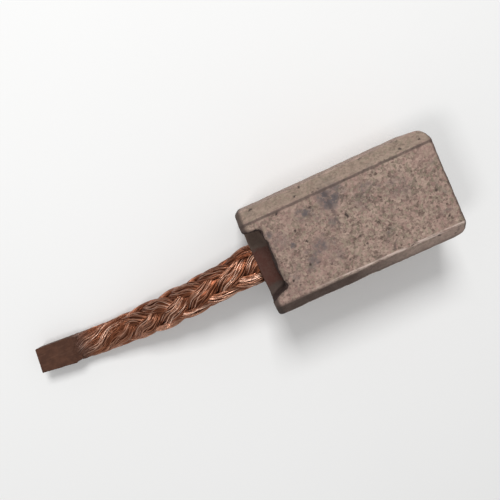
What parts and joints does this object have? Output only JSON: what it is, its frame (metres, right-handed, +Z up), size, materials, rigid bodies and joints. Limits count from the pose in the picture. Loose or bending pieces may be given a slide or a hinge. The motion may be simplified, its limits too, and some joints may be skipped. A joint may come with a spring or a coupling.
{
  "type": "carbon brush",
  "caption": "Copper-graphite motor brush: a pressed block with bevelled long edges and a short braided copper lead that ends in a welded bar",
  "frame": {"origin": "centre of the block's broad side that it lies on", "axes": "+X out of the contact face towards the commutator, -X the way the lead leaves, +Y across the block, +Z up through its thickness"},
  "size_m": [0.0425, 0.01, 0.009],
  "materials": {
    "copper_graphite": "matt pressed copper-graphite, fine pink and dark grain, darker smudges",
    "braid_copper": "bare copper wires, lightly oxidised, pinkish to red-brown",
    "welded_copper": "wires welded into a solid bar, dull dark brown oxide"
  },
  "bodies": {
    "root": {"carbon_block": "copper_graphite", "braid_strand_1": "braid_copper", "braid_strand_2": "braid_copper", "braid_strand_3": "braid_copper", "braid_strand_4": "braid_copper", "braid_strand_5": "braid_copper", "braid_strand_6": "braid_copper", "braid_strand_7": "braid_copper", "braid_strand_8": "braid_copper", "braid_strand_9": "braid_copper", "braid_strand_10": "braid_copper", "braid_strand_11": "braid_copper", "braid_strand_12": "braid_copper", "welded_end": "welded_copper"}
  },
  "joints": []
}
